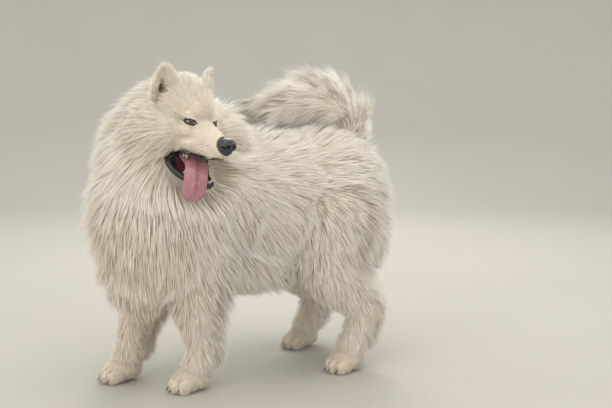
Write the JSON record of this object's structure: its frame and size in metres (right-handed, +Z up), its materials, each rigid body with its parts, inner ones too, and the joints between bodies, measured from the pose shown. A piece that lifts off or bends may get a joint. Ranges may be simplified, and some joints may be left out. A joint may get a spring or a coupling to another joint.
{
  "type": "standing samoyed dog",
  "caption": "Life-size still model of a standing samoyed with a long white coat, head turned to its left, tongue out and tail curled over its back.",
  "frame": {"origin": "centre of the bounding box in plan, on the floor that the paws stand on", "axes": "+Z up; the body faces -Y, and the dog's own left side is +X, where its head is turned"},
  "size_m": [0.4668, 0.8235, 0.7686],
  "materials": {
    "coat_long": "long, soft, slightly sheened white hair with cream shading",
    "coat_leg": "short to medium white hair, creamier towards the feet",
    "coat_face": "short, dense white hair",
    "coat_ear": "very short white hair outside, pinkish skin with cream fluff inside",
    "nose_leather": "damp, finely pebbled black leather",
    "tongue": "wet pink tongue with a groove down its middle",
    "eye": "wet dark brown eye"
  },
  "bodies": {
    "root": {"head": "coat_face", "nose": "nose_leather", "lower_jaw": "coat_face", "tongue": "tongue", "ear_left": "coat_ear", "ear_right": "coat_ear", "eye_left": "eye", "eye_right": "eye", "neck": "coat_long", "torso": "coat_long", "tail_base": "coat_long", "tail_plume": "coat_long", "leg_front_left": "coat_leg", "leg_front_right": "coat_leg", "leg_hind_left": "coat_leg", "leg_hind_right": "coat_leg"}
  },
  "joints": []
}
